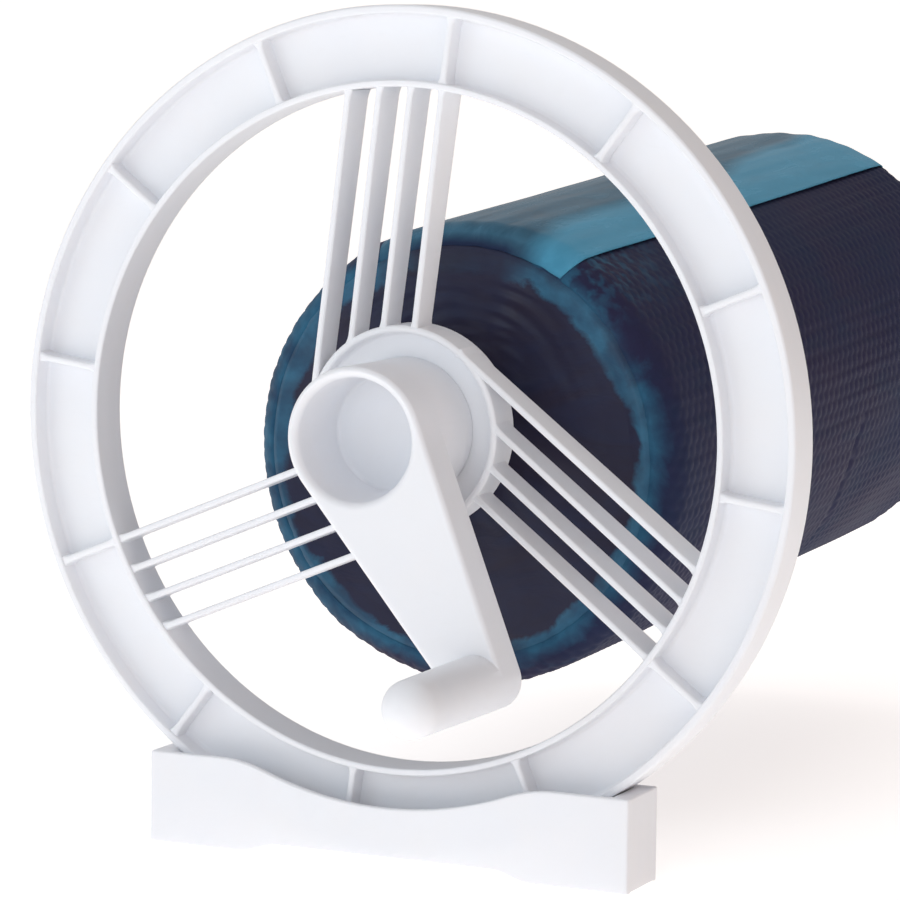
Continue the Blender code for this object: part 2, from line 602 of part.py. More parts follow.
screw_depth = SPIGOT_REACH - SCREW_INSET
collar_depth = OUTER_TUBE_END - COLLAR_LENGTH / 2
far_depth = REEL_LENGTH - INNER_TUBE_END + FAR_PLUG_LENGTH - SCREW_INSET
for number, angle in enumerate((math.pi / 2, -math.pi / 2), 1):
    for piece, depth in ((crank, screw_depth), (outer_tube, screw_depth), (outer_tube, collar_depth),
                         (collar, collar_depth)):
        size = COLLAR_SCREW_RADIUS if depth == collar_depth else SCREW_RADIUS
        drill(piece, size + GAP, depth, angle, TUBE_RADIUS + 0.020)
    for piece, depth in ((inner_tube, REEL_LENGTH - far_depth), (far_plug, far_depth)):
        drill(piece, SCREW_RADIUS + GAP, depth, angle, TUBE_RADIUS + 0.020)
    make_screw(f"crank_screw_{number}", steel, SCREW_RADIUS, SCREW_HEAD_RADIUS, SCREW_HEAD_HEIGHT,
               TUBE_RADIUS, TUBE_WALL + SPIGOT_WALL, screw_depth, angle, 0.0, -1)
    make_screw(f"far_plug_screw_{number}", steel, SCREW_RADIUS, SCREW_HEAD_RADIUS, SCREW_HEAD_HEIGHT,
               INNER_TUBE_RADIUS, TUBE_WALL + SPIGOT_WALL, far_depth, angle, REEL_LENGTH, 1)
    make_screw(f"collar_screw_{number}", steel, COLLAR_SCREW_RADIUS, COLLAR_HEAD_RADIUS,
               COLLAR_HEAD_HEIGHT, TUBE_RADIUS + GAP + COLLAR_WALL, COLLAR_WALL + TUBE_WALL,
               collar_depth, angle, 0.0, -1)

bpy.context.view_layer.update()
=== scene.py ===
"""The looks of a reel for a pool's bubble cover, built around its fixed frame.

White moulded end wheels, feet and a crank take the place of the frame's plain solids. The cover is a
stack of wound turns under one outer turn of bubble film, whose smooth hem lies along the roll's top.
Lengths are in metres. Moulded and turned pieces are made lying down, as on a bench: the wheel's axis is
the local Z axis, the rim's front edge is at Z = 0, and the front faces +Z.
"""
import json
import math

import bmesh
import bpy
from mathutils import Matrix, Vector, noise


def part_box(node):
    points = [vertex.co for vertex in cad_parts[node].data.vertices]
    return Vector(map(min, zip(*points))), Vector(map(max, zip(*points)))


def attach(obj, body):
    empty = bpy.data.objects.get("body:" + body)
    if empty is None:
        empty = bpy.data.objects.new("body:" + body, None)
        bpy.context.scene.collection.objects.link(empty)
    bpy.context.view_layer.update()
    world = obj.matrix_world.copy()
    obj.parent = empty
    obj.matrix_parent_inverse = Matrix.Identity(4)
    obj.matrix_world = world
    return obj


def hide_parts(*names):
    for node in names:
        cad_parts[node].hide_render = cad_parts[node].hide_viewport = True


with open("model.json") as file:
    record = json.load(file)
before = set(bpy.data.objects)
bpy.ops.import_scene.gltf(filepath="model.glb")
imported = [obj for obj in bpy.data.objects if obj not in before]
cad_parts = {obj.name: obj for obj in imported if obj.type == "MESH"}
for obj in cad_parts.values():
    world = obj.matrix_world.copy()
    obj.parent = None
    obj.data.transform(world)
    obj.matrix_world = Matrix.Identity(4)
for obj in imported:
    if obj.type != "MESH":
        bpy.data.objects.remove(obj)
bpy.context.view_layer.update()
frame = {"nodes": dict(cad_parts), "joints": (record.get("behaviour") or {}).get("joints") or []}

# ---------------------------------------------------------------- sizes read from the frame

joints = {joint["name"]: joint for joint in frame["joints"]}
AXLE = Vector(joints["reel_turn"]["pos_m"])
wheel_low, wheel_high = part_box("near_wheel")
foot_low, foot_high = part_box("near_foot")
roll_low, roll_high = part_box("cover_roll")
crank_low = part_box("crank")[0]
far_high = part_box("far_wheel")[1]

WHEEL_RADIUS = (wheel_high.z - wheel_low.z) / 2
NEAR_FRONT = wheel_low.y                        # the near rim's front edge, along Y
FAR_FRONT = far_high.y
FOOT_HALF_WIDTH = (foot_high.x - foot_low.x) / 2
FOOT_HEIGHT = foot_high.z - foot_low.z
FOOT_FRONT_DEPTH = foot_low.y - NEAR_FRONT      # behind the rim's front, so below zero
FOOT_BACK_DEPTH = foot_high.y - NEAR_FRONT
ROLL_LENGTH = roll_high.y - roll_low.y
GRIP_TIP = NEAR_FRONT - crank_low.y             # the grip's end in front of the rim
AXLE_HEIGHT = AXLE.z

# ---------------------------------------------------------------- sizes of the mouldings

GAP = 0.0003

RIM_INNER_RADIUS = 0.202
RIM_DEPTH = 0.030
OUTER_RIM_WALL = 0.0050
INNER_RIM_WALL = 0.0040
RIM_WEB = 0.0030
RIB_COUNT = 12
RIB_THICKNESS = 0.0042
RIB_SETBACK = 0.0015
RIB_FLARE = 0.0020              # how much wider, on each side, where it meets a wall
RIB_FLARE_REACH = 0.0065
WHEEL_TURN = math.radians(-7.4)

SPOKE_GROUPS = 3
SPOKES_PER_GROUP = 4
SPOKE_THICKNESS = 0.0040
SPOKE_SETBACK = 0.0020
SPOKE_HUB_SETBACK = 0.0070      # a spoke's front edge slopes down to the hub's lip
SPOKE_FLARE = 0.0012
SPOKE_FLARE_REACH = 0.0060
SPOKE_EDGE = 0.0014

HUB_RADIUS = 0.0620
HUB_WALL = 0.0043
HUB_FRONT = 0.0066
HUB_BACK = 0.0330
HUB_FACE_DEPTH = 0.0168
HUB_FACE_THICKNESS = 0.0035
HUB_BORE = 0.0363
SLEEVE_WALL = 0.0042
SLEEVE_BACK = 0.0410

CRANK_FRONT = 0.0574
CRANK_BOSS_RADIUS = 0.0428
CRANK_CUP_RADIUS = 0.0362
CRANK_CUP_FLOOR_RADIUS = 0.0347
CRANK_CUP_DEPTH = 0.0507
CRANK_CUP_WALL = 0.004          # thickness of the cup's floor
CRANK_THROW = 0.1577
CRANK_ANGLE = math.radians(-59.8)
CRANK_ARM_DEPTH = 0.0274
CRANK_WALL = 0.0032
CRANK_EDGE = 0.0032             # rounding of the arm's front edge
CRANK_RIM_EDGE = 0.0046         # rounding of the cup's mouth
BACK_EDGE = 0.0008              # rounding of the arm's back edges
SPIGOT_RADIUS = 0.0282
SPIGOT_WALL = 0.0040
SPIGOT_REACH = 0.0750
GRIP_RADIUS = 0.0170
GRIP_ROOT_RADIUS = 0.0177
GRIP_DOME = 0.0150

FOOT_WALL = 0.0040
FOOT_FLOOR = 0.0032
FOOT_RELIEF_HEIGHT = 0.0060
FOOT_PAD_WIDTH = 0.0600
FOOT_RELIEF_RAMP = 0.0270
FOOT_DIP_RADIUS = 0.2240
FOOT_DIP_BLEND = 0.0150
FOOT_EDGE = 0.0013
FOOT_FINE_EDGE = 0.0006         # rounding along the slot's floor and the underside
FOOT_THIN = 0.0004              # least height of the hollow, where it closes

TUBE_RADIUS = 0.0300
ROLL_NEAR_RADIUS = 0.1437
ROLL_FAR_RADIUS = 0.1535
ROLL_SHOULDER = 0.0280
ROLL_NEAR_SAG = 0.0260
ROLL_FAR_SAG = -0.0060

FILM = 0.0014                   # thickness of the outer turn
FILM_LAP = 0.0030               # how far the hem's edge stands off the film below it
HEM_ANGLE = math.radians(59)    # where the hem's edge lies on the roll
HEM_WIDTH = math.radians(56)
FILM_MARGIN = 0.0030            # the outer turn is this much narrower than the roll, at each end
OUTER_TURN_SINK = 0.0021        # the film's outer face below the roll's outline
INNER_TURNS_SINK = 0.0036       # the turns below it
LAP = math.radians(9)           # how far the last turn runs under its own hem
LAP_EASE = math.radians(70)     # over this angle the hem settles back on the roll
WAVE_HEIGHT = 0.0008
HEM_CREASE = 0.0008
FILM_CREASE = 0.0006
FOLD_ANGLE = math.radians(336)
FOLD_REACH = math.radians(19)
FOLD_PLACE = 0.342              # the crease's distance from the near end
FOLD_WIDTH = 0.0040
FOLD_DEPTH = 0.0014
END_SINK = 0.0030               # the wound ends behind the roll's end planes
END_CREASE = 0.0034
END_EDGE = 0.0012               # from the roll's end planes to the first ring of its side
EDGE_RISE_DEPTH = 0.0055        # over this depth the turns' side sinks to its full measure
DEEPEST_CREASE = 0.008
TURN_PITCH = 0.0032             # from one wound turn to the next, as the ends show them
BUBBLE_PITCH = 0.0096
BUBBLE_HEIGHT = 0.0011
FLAT_WIDTH = ROLL_LENGTH - 2 * FILM_MARGIN

FINE_STEPS = 180
ROUND_STEPS = 96


# ---------------------------------------------------------------- shader nodes as expressions

class Wire:
    """A socket's output. Arithmetic on wires adds the Math nodes that work it out."""

    def __init__(self, nodes, socket):
        self.nodes = nodes
        self.socket = socket

    def math(self, operation, first, second=None, clamp=False):
        values = {0: first} if second is None else {0: first, 1: second}
        return self.nodes.add("Math", {"operation": operation, "use_clamp": clamp}, values)

    def __add__(self, other):
        return self.math("ADD", self, other)

    def __radd__(self, other):
        return self.math("ADD", other, self)

    def __sub__(self, other):
        return self.math("SUBTRACT", self, other)

    def __rsub__(self, other):
        return self.math("SUBTRACT", other, self)

    def __mul__(self, other):
        return self.math("MULTIPLY", self, other)

    def __rmul__(self, other):
        return self.math("MULTIPLY", other, self)

    def __truediv__(self, other):
        return self.math("DIVIDE", self, other)

    def __pow__(self, other):
        return self.math("POWER", self, other)

    def clamped(self):
        return self.math("ADD", self, 0.0, clamp=True)

    def ramp(self, start, end):
        """0 below start, 1 above end, and straight between them."""
        return ((self - start) * (1 / (end - start))).clamped()


class Nodes:
    """A node tree in the making, with one method that adds any node."""

    def __init__(self, tree):
        self.tree = tree

    def add(self, kind, settings=None, sockets=None, output=0):
        node = self.tree.nodes.new("ShaderNode" + kind)
        for key, value in (settings or {}).items():
            setattr(node, key, value)
        for key, value in (sockets or {}).items():
            self.plug(node.inputs[key], value)
        return Wire(self, node.outputs[output])

    def plug(self, socket, value):
        if isinstance(value, Wire):
            self.tree.links.new(value.socket, socket)
        elif isinstance(value, tuple) and len(value) == 3 and socket.type == "RGBA":
            socket.default_value = (*value, 1.0)
        else:
            socket.default_value = value

    def split(self, vector):
        node = self.add("SeparateXYZ", sockets={0: vector}).socket.node
        return [Wire(self, output) for output in node.outputs]

    def stretched(self, vector, scale):
        return self.add("VectorMath", {"operation": "MULTIPLY"}, {0: vector, 1: scale})

    def noise(self, vector, scale, detail=3.0, roughness=0.5, distortion=0.0):
        return self.add("TexNoise", sockets={
            "Vector": vector, "Scale": scale, "Detail": detail, "Roughness": roughness,
            "Distortion": distortion})

    def mix(self, factor, first, second):
        return self.add("Mix", {"data_type": "RGBA"}, {0: factor, 6: first, 7: second}, output=2)

    def bump(self, height, distance, strength=1.0, normal=None):
        sockets = {"Height": height, "Distance": distance, "Strength": strength}
        if normal:
            sockets["Normal"] = normal
        return self.add("Bump", sockets=sockets)


class Finish(Nodes):
    """A material in the making."""

    def __init__(self, name, roughness, metallic=0.0, **constants):
        self.material = bpy.data.materials.new(name)
        self.material.use_nodes = True
        super().__init__(self.material.node_tree)
        self.shader = self.tree.nodes["Principled BSDF"]
        self.put("Roughness", roughness)
        self.put("Metallic", metallic)
        for socket, value in constants.items():
            self.put(socket.replace("_", " "), value)

    def put(self, socket, value):
        self.plug(self.shader.inputs[socket], value)

    def position(self):
        return self.add("TexCoord", output="Object")


# ---------------------------------------------------------------- materials

def moulded_white():
    """Satin moulded plastic: cool white, with faint flow marks, a fine sparked skin and scuffs."""
    finish = Finish("moulded_white", 0.4, Coat_Weight=0.06, Coat_Roughness=0.25,
                    Subsurface_Weight=0.20, Subsurface_Scale=0.010,
                    Subsurface_Radius=(1.0, 0.9, 0.85))
    place = finish.position()
    flow = finish.noise(finish.stretched(place, (1.0, 2.2, 1.0)), 7.0, 4.0, 0.55, 0.8)
    cloud = finish.noise(place, 26.0, 3.0)
    base = finish.mix(flow.ramp(0.3, 0.7), (0.850, 0.865, 0.905), (0.880, 0.892, 0.925))
    tinted = finish.mix(cloud.ramp(0.45, 0.75) * 0.35, base, (0.885, 0.875, 0.885))
    scuff = finish.noise(finish.stretched(place, (1.0, 1.0, 5.0)), 60.0, 5.0, 0.6).ramp(0.62, 0.8)
    finish.put("Base Color", finish.mix(scuff * 0.10, tinted, (0.70, 0.69, 0.70)))
    finish.put("Roughness", 0.36 + cloud * 0.10 + scuff * 0.12)
    skin = finish.noise(place, 900.0, 2.0)
    waves = finish.noise(place, 34.0, 2.0)
    finish.put("Normal", finish.bump(skin * 0.3 + waves * 0.7, 0.00025, 0.35))
    return finish.material


def natural_nylon():
    """Unpigmented bearing plastic: cream white and matt, rubbed shiny in patches."""
    finish = Finish("natural_nylon", 0.5, Subsurface_Weight=0.12, Subsurface_Scale=0.004)
    place = finish.position()
    cloud = finish.noise(place, 45.0, 4.0, 0.6)
    finish.put("Base Color", finish.mix(cloud.ramp(0.3, 0.7), (0.70, 0.68, 0.63), (0.78, 0.77, 0.73)))
    finish.put("Roughness", 0.42 + cloud * 0.2)
    finish.put("Normal", finish.bump(finish.noise(place, 700.0, 2.0), 0.0002, 0.3))
    return finish.material


def drawn_aluminium():
    """Satin anodised tube: fine draw lines along its length and dull patches."""
    finish = Finish("drawn_aluminium", 0.3, metallic=1.0)
    place = finish.position()
    lines = finish.noise(finish.stretched(place, (1.0, 0.012, 1.0)), 900.0, 3.0, 0.6)
    cloud = finish.noise(place, 18.0, 4.0, 0.6)
    finish.put("Base Color", finish.mix(cloud.ramp(0.3, 0.7), (0.60, 0.61, 0.63), (0.72, 0.73, 0.74)))
    finish.put("Roughness", 0.24 + lines * 0.16 + cloud * 0.10)
    finish.put("Normal", finish.bump(lines, 0.0002, 0.35))
    return finish.material


def zinc_steel():
    """Zinc plated steel: bluish bright, with a fine spangle and turning marks."""
    finish = Finish("zinc_steel", 0.3, metallic=1.0)
    place = finish.position()
    grain = finish.noise(place, 420.0, 4.0, 0.65)
    cloud = finish.noise(place, 90.0, 3.0)
    finish.put("Base Color", finish.mix(cloud.ramp(0.35, 0.65), (0.50, 0.52, 0.55), (0.66, 0.66, 0.64)))
    finish.put("Roughness", 0.22 + grain * 0.22)
    finish.put("Normal", finish.bump(grain, 0.0001, 0.4))
    return finish.material


class CoverFinish(Finish):
    """A finish of the wound film, which knows where on the roll a point lies."""

    def __init__(self, name, roughness, gloss):
        super().__init__(name, roughness, Specular_IOR_Level=gloss, Specular_Tint=(0.82, 0.92, 1.0))
        self.place = self.position()
        x, y, z = self.split(self.place)
        depth = (y - roll_low.y) * (1 / ROLL_LENGTH)
        sag = ROLL_NEAR_SAG + depth * (ROLL_FAR_SAG - ROLL_NEAR_SAG)
        height = z - AXLE_HEIGHT + sag
        self.depth = depth
        self.side = x
        self.radius = (x * x + height * height) ** 0.5
        self.angle = height.math("ARCTAN2", height, x)

    def shoulder(self):
        """1 on the ragged teal band where the film turns over the roll's end."""
        torn = self.noise(self.place, 26.0, 5.0, 0.62, 0.5) * 0.026 - 0.013
        edge = self.radius + torn
        inner = edge.ramp(0.1150, 0.1185)
        outer = 1 - (edge - 0.014 * (0 - self.side).ramp(0.04, 0.11)).ramp(0.1255, 0.1360)
        near = 1 - self.depth.ramp(0.04, 0.09)
        far = self.depth.ramp(0.93, 0.97)
        patchy = self.noise(self.place, 38.0, 3.0).ramp(0.30, 0.55)
        return inner * outer * (near + far).clamped() * (0.45 + 0.55 * patchy)

    def folded(self):
        """1 over the top of the roll's end, where the hem's corner is folded in."""
        return self.angle.ramp(1.15, 1.35) * (1 - self.angle.ramp(1.75, 2.05))

    def teal(self):
        return self.mix(self.noise(self.place, 70.0, 3.0).ramp(0.35, 0.65),
                        (0.026, 0.090, 0.165), (0.038, 0.140, 0.235))


def bubble_film():
    """Dark blue bubble film: violet where it lies double, bluer in streaks."""
    finish = CoverFinish("bubble_film", 0.4, 0.06)
    patch = finish.noise(finish.place, 8.0, 3.0, 0.55)
    streak = finish.noise(finish.stretched(finish.place, (4.0, 1.0, 4.0)), 16.0, 4.0, 0.6, 0.6)
    deep = finish.mix(patch.ramp(0.35, 0.65), (0.028, 0.025, 0.062), (0.022, 0.028, 0.070))
    streaked = finish.mix(streak.ramp(0.50, 0.75) * 0.5, deep, (0.014, 0.030, 0.068))
    by_hem = finish.angle.ramp(0.66, 1.0) * (1 - finish.angle.ramp(1.2, 1.6))
    fringe = by_hem * (1 - finish.depth.ramp(0.06, 0.24))
    flecks = finish.noise(finish.place, 110.0, 2.0).ramp(0.48, 0.62)
    teal = finish.shoulder() * (1 - 0.8 * finish.folded()) + fringe * flecks * 0.8
    finish.put("Base Color", finish.mix(teal.clamped(), streaked, finish.teal()))
    finish.put("Roughness", 0.44 + patch * 0.16)
    finish.put("Normal", finish.bump(finish.noise(finish.place, 160.0, 3.0), 0.0006, 0.5))
    return finish.material


def hem_film():
    """The smooth doubled hem, greyer and darker over the top. Along its free edge, a painted sky
    reflection lies on the hem's own teal as a lighter, clear teal band.
    """
    finish = CoverFinish("hem_film", 0.25, 0.02)
    streak = finish.noise(finish.stretched(finish.place, (5.0, 1.0, 5.0)), 14.0, 4.0, 0.55, 0.5)
    wander = finish.noise(finish.place, 7.0, 2.0) * 0.3 - 0.15
    # painted sky reflection: from the hem's free edge up to this ramp the hem is painted a lighter clear
    # teal, where the sky would show in it; past the ramp it keeps its own grey teal
    over = (finish.angle + wander - finish.depth * 0.22).ramp(HEM_ANGLE + 0.13, HEM_ANGLE + 0.24)
    clear = finish.mix(streak.ramp(0.3, 0.72), (0.080, 0.320, 0.490), (0.105, 0.385, 0.580))
    grey = finish.mix(streak.ramp(0.3, 0.72), (0.036, 0.112, 0.180), (0.072, 0.190, 0.285))
    rounding = 1 - (finish.depth + wander * 0.02).ramp(0.006, 0.018)
    folded = (rounding * finish.folded()).clamped()
    surface = finish.mix(finish.shoulder() * 0.6, finish.mix(over, clear, grey), finish.teal())
    finish.put("Base Color", finish.mix(folded * 0.9, surface, (0.020, 0.022, 0.060)))
    finish.put("Roughness", 0.18 + streak * 0.16)
    finish.put("Normal", finish.bump(streak, 0.0012, 0.5))
    return finish.material


def wound_edges():
    """The ends of the wound turns: dark violet, creased, and teal at the outermost turns."""
    finish = CoverFinish("wound_edges", 0.4, 0.25)
    fold = finish.noise(finish.stretched(finish.place, (1.0, 6.0, 3.0)), 12.0, 4.0, 0.6, 1.0)
    dark = finish.mix(fold.ramp(0.35, 0.65), (0.026, 0.021, 0.042), (0.022, 0.024, 0.058))
    teal = finish.shoulder() * (1 - 0.9 * finish.folded())
    finish.put("Base Color", finish.mix(teal, dark, finish.teal()))
    finish.put("Roughness", 0.32 + fold * 0.2)
    finish.put("Normal", finish.bump(fold + finish.noise(finish.place, 120.0, 3.0) * 0.2, 0.0020, 0.5))
    return finish.material


def pale_floor():
    """A floor that glows a little, as a lit sweep of studio paper does."""
    finish = Finish("pale_floor", 0.9, Emission_Strength=0.63, Specular_IOR_Level=0.1)
    cloud = finish.noise(finish.position(), 0.8, 2.0)
    finish.put("Base Color", finish.mix(cloud, (0.93, 0.925, 0.92), (0.95, 0.945, 0.94)))
    finish.put("Emission Color", (1.0, 0.955, 0.93))
    return finish.material


# ---------------------------------------------------------------- mesh tools

def new_object(name, mesh, *materials):
    obj = bpy.data.objects.new(name, mesh)
    bpy.context.scene.collection.objects.link(obj)
    for material in materials:
        obj.data.materials.append(material)
    return obj


def mesh_from(name, points, faces):
    mesh = bpy.data.meshes.new(name)
    mesh.from_pydata([tuple(point) for point in points], [], faces)
    tidy = bmesh.new()
    tidy.from_mesh(mesh)
    bmesh.ops.remove_doubles(tidy, verts=tidy.verts, dist=0.000002)
    bmesh.ops.dissolve_degenerate(tidy, edges=tidy.edges, dist=0.000001)
    bmesh.ops.recalc_face_normals(tidy, faces=tidy.faces)
    tidy.to_mesh(mesh)
    tidy.free()
    return mesh


def rounded(corners, segments=4):
    """A closed outline of (x, y, rounding) corners, as points with each corner rounded."""
    points = []
    for index, (x, y, radius) in enumerate(corners):
        corner = Vector((x, y))
        back = (Vector(corners[index - 1][:2]) - corner).normalized()
        ahead = (Vector(corners[(index + 1) % len(corners)][:2]) - corner).normalized()
        if radius <= 0:
            points.append(corner)
            continue
        half = back.angle(ahead) / 2
        center = corner + (back + ahead).normalized() * (radius / math.sin(half))
        start = corner + back * (radius / math.tan(half)) - center
        end = corner + ahead * (radius / math.tan(half)) - center
        turn = start.angle_signed(end)
        for k in range(segments + 1):
            spin = Matrix.Rotation(-turn * k / segments, 2)
            points.append(center + spin @ start)
    return points


def lathe(name, outline, steps=ROUND_STEPS, closed=True):
    """Turns an outline of (radius, z) points about the Z axis."""
    points, faces = [], []
    for step in range(steps):
        angle = 2 * math.pi * step / steps
        points += [(r * math.cos(angle), r * math.sin(angle), z) for r, z in outline]
    count = len(outline)
    for step in range(steps):
        here, there = step * count, (step + 1) % steps * count
        for i in range(count if closed else count - 1):
            j = (i + 1) % count
            faces.append((here + i, here + j, there + j, there + i))
    return mesh_from(name, points, faces)


def loft(name, rings, caps=True):
    """A skin through rings of points that all have the same count."""
    count = len(rings[0])
    points = [point for ring in rings for point in ring]
    faces = []
    for row in range(len(rings) - 1):
        here, there = row * count, (row + 1) * count
        for i in range(count):
            j = (i + 1) % count
            faces.append((here + i, here + j, there + j, there + i))
    if caps:
        faces.append(tuple(reversed(range(count))))
        faces.append(tuple(range(len(points) - count, len(points))))
    return mesh_from(name, points, faces)


def boolean(obj, mesh, operation):
    """Joins a mesh to an object, or cuts it away, and leaves plain mesh."""
    tool = new_object(mesh.name + "_tool", mesh)
    modifier = obj.modifiers.new(operation.lower(), "BOOLEAN")
    modifier.operation = operation
    modifier.solver = "EXACT"
    modifier.object = tool
    fixed = bpy.data.meshes.new_from_object(obj.evaluated_get(bpy.context.evaluated_depsgraph_get()))
    obj.modifiers.clear()
    materials = list(obj.data.materials)
    obj.data = fixed
    fixed.materials.clear()
    for material in materials:
        fixed.materials.append(material)
    bpy.data.objects.remove(tool)


def join(obj, mesh):
    boolean(obj, mesh, "UNION")


def cut(obj, mesh):
    boolean(obj, mesh, "DIFFERENCE")


def moved(mesh, *matrices):
    for matrix in matrices:
        mesh.transform(matrix)
    return mesh


def smooth(obj, angle=38):
    obj.data.shade_smooth()
    obj.data.set_sharp_from_angle(angle=math.radians(angle))
    weighted = obj.modifiers.new("even_shading", "WEIGHTED_NORMAL")
    weighted.keep_sharp = True
    return obj


def stand_up(obj, front, outward=-1):
    """Stands a lying piece up on the axle line, its front at a place along Y and facing outward."""
    facing = Matrix.Rotation(math.pi if outward > 0 else 0.0, 4, "Z")
    upright = Matrix.Rotation(math.pi / 2, 4, "X")
    obj.data.transform(Matrix.Translation((0, front, AXLE_HEIGHT)) @ facing @ upright)
    return obj


def finish_piece(obj, body, slot, *nodes):
    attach(obj, body)
    if nodes:
        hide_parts(*nodes)
    return obj


# ---------------------------------------------------------------- wheels

def bar(name, length_stations, half_widths, bottom, tops, edge):
    """A flat bar along +X on edge: its width and top given at stations, its long edges rounded."""
    rings = []
    for x, half, top in zip(length_stations, half_widths, tops):
        middle = (bottom + top) / 2
        corners = [(-half, bottom, edge), (half, bottom, edge), (half * 1.06, middle, 0),
                   (half, top, edge), (-half, top, edge), (-half * 1.06, middle, 0)]
        rings.append([(x, y, z) for y, z in rounded(corners, 3)])
    return loft(name, rings)


def flared(start, end, half, flare, reach):
    """Stations along a bar, and its half widths there, wider where it meets a wall at either end."""
    near = [start + reach * (i / 5) ** 1.4 for i in range(6)]
    far = [end - reach * (i / 5) ** 1.4 for i in reversed(range(6))]
    middle = [near[-1] + (far[0] - near[-1]) * i / 4 for i in (1, 2, 3)]
    stations = near + middle + far
    widths = []
    for x in stations:
        closeness = max(0.0, 1 - min(x - start, end - x) / reach)
        widths.append(half + flare * closeness ** 2)
    return stations, widths


def make_wheel(name, material):
    outer_wall = WHEEL_RADIUS - OUTER_RIM_WALL
    inner_wall = RIM_INNER_RADIUS + INNER_RIM_WALL
    web_top = -(RIM_DEPTH - RIM_WEB) / 2
    web_bottom = web_top - RIM_WEB
    root = 0.0024
    rim = lathe(name, rounded([
        (WHEEL_RADIUS, 0, 0.0018), (WHEEL_RADIUS, -RIM_DEPTH, 0.0018),
        (outer_wall, -RIM_DEPTH, 0.0012), (outer_wall, web_bottom, root),
        (inner_wall, web_bottom, root), (inner_wall, -RIM_DEPTH, 0.0010),
        (RIM_INNER_RADIUS, -RIM_DEPTH, 0.0015), (RIM_INNER_RADIUS, 0, 0.0015),
        (inner_wall, 0, 0.0010), (inner_wall, web_top, root),
        (outer_wall, web_top, root), (outer_wall, 0, 0.0012)]), FINE_STEPS)
    wheel = new_object(name, rim, material)
    bite = 0.0012
    edge = RIB_THICKNESS * 0.38
    ribs = bpy.data.meshes.new("ribs")
    gather = bmesh.new()
    stations, widths = flared(inner_wall - bite, outer_wall + bite, RIB_THICKNESS / 2, RIB_FLARE,
                              RIB_FLARE_REACH)
    for i in range(RIB_COUNT):
        tops = [-RIB_SETBACK] * len(stations)
        rib = bar("rib", stations, widths, -RIM_DEPTH + RIB_SETBACK, tops, edge)
        gather.from_mesh(moved(rib, Matrix.Rotation(2 * math.pi * i / RIB_COUNT, 4, "Z")))
    spacing = (HUB_RADIUS - HUB_WALL / 2) / (SPOKES_PER_GROUP - 1)
    for group in range(SPOKE_GROUPS):
        turn = math.pi / 2 + 2 * math.pi * group / SPOKE_GROUPS
        for i in range(SPOKES_PER_GROUP):
            side = i * spacing
            start = math.sqrt(max((HUB_RADIUS - HUB_WALL / 2) ** 2 - side ** 2, 0.0))
            end = math.sqrt((RIM_INNER_RADIUS + bite) ** 2 - (side + SPOKE_THICKNESS / 2) ** 2)
            stations, widths = flared(start, end, SPOKE_THICKNESS / 2, SPOKE_FLARE,
                                      SPOKE_FLARE_REACH)
            slope = (SPOKE_HUB_SETBACK - SPOKE_SETBACK) / (end - start)
            tops = [-SPOKE_HUB_SETBACK + slope * (x - start) for x in stations]
            spoke = bar("spoke", stations, widths, -RIM_DEPTH + SPOKE_SETBACK, tops, SPOKE_EDGE)
            place = Matrix.Translation((0, side, 0))
            gather.from_mesh(moved(spoke, place, Matrix.Rotation(turn, 4, "Z")))
    gather.to_mesh(ribs)
    gather.free()
    join(wheel, ribs)
    face_back = -(HUB_FACE_DEPTH + HUB_FACE_THICKNESS)
    wall = HUB_RADIUS - HUB_WALL
    sleeve = HUB_BORE + SLEEVE_WALL
    hub = lathe("hub", rounded([
        (HUB_RADIUS, -HUB_FRONT, 0.0019), (HUB_RADIUS, -HUB_BACK, 0.0010),
        (wall, -HUB_BACK, 0.0010), (wall, face_back, 0.0015),
        (sleeve, face_back, 0.0015), (sleeve, -SLEEVE_BACK, 0.0008),
        (HUB_BORE, -SLEEVE_BACK, 0.0008), (HUB_BORE, -HUB_FACE_DEPTH, 0.0008),
        (wall, -HUB_FACE_DEPTH, 0.0022), (wall, -HUB_FRONT, 0.0018)]), ROUND_STEPS)
    join(wheel, hub)
    wheel.data.transform(Matrix.Rotation(WHEEL_TURN, 4, "Z"))
    return smooth(wheel)


# ---------------------------------------------------------------- crank

def arm_outline(inset, z):
    """Two circles and the lines that touch both, shrunk by an inset, at a height."""
    boss, end = CRANK_BOSS_RADIUS - inset, GRIP_ROOT_RADIUS - inset
    spread = math.acos((boss - end) / CRANK_THROW)
    tip = Vector((CRANK_THROW * math.cos(CRANK_ANGLE), CRANK_THROW * math.sin(CRANK_ANGLE)))
    points = []
    for k in range(25):
        angle = CRANK_ANGLE - spread + 2 * spread * k / 24
        points.append((tip.x + end * math.cos(angle), tip.y + end * math.sin(angle), z))
    rest = 2 * math.pi - 2 * spread
    for k in range(61):
        angle = CRANK_ANGLE + spread + rest * k / 60
        points.append((boss * math.cos(angle), boss * math.sin(angle), z))
    return points


